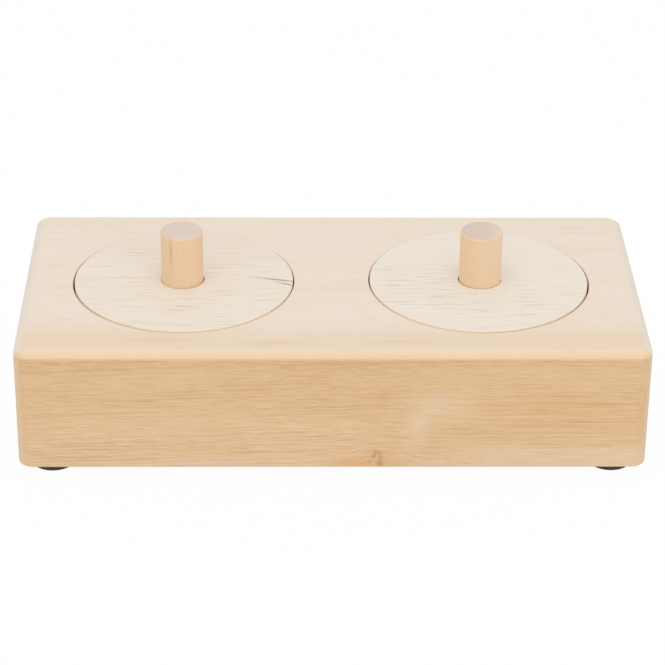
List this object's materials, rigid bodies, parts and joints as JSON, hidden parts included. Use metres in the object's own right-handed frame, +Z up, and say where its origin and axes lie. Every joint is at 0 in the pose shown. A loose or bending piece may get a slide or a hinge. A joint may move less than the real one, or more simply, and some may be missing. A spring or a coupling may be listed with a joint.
{
  "type": "bird treat puzzle box",
  "caption": "Low softwood block with round treat wells closed by almost flush round lids, each lifted out by a dowel peg, standing on dark rubber feet.",
  "frame": {"origin": "on the plane of the feet's soles, under the middle of the block", "axes": "+X along the block to the right, +Y to the rear, +Z up"},
  "size_m": [0.2, 0.1, 0.0634],
  "materials": {
    "block_wood": "sanded, untreated",
    "lid_wood": "sanded, untreated",
    "peg_wood": "sanded, untreated",
    "foot_rubber": "matt",
    "screw_steel": "zinc plated"
  },
  "bodies": {
    "box": {"block": "block_wood", "foot_front_left": "foot_rubber", "foot_front_right": "foot_rubber", "foot_rear_left": "foot_rubber", "foot_rear_right": "foot_rubber", "foot_screws": "screw_steel"},
    "left_lid": {"lid_left": "lid_wood", "peg_left": "peg_wood"},
    "right_lid": {"lid_right": "lid_wood", "peg_right": "peg_wood"}
  },
  "joints": [
    {"name": "lid_left_lift", "type": "slide", "parent": "box", "child": "left_lid", "axis": [0, 0, 1], "range_m": [0, 0.06]},
    {"name": "lid_right_lift", "type": "slide", "parent": "box", "child": "right_lid", "axis": [0, 0, 1], "range_m": [0, 0.06]}
  ]
}
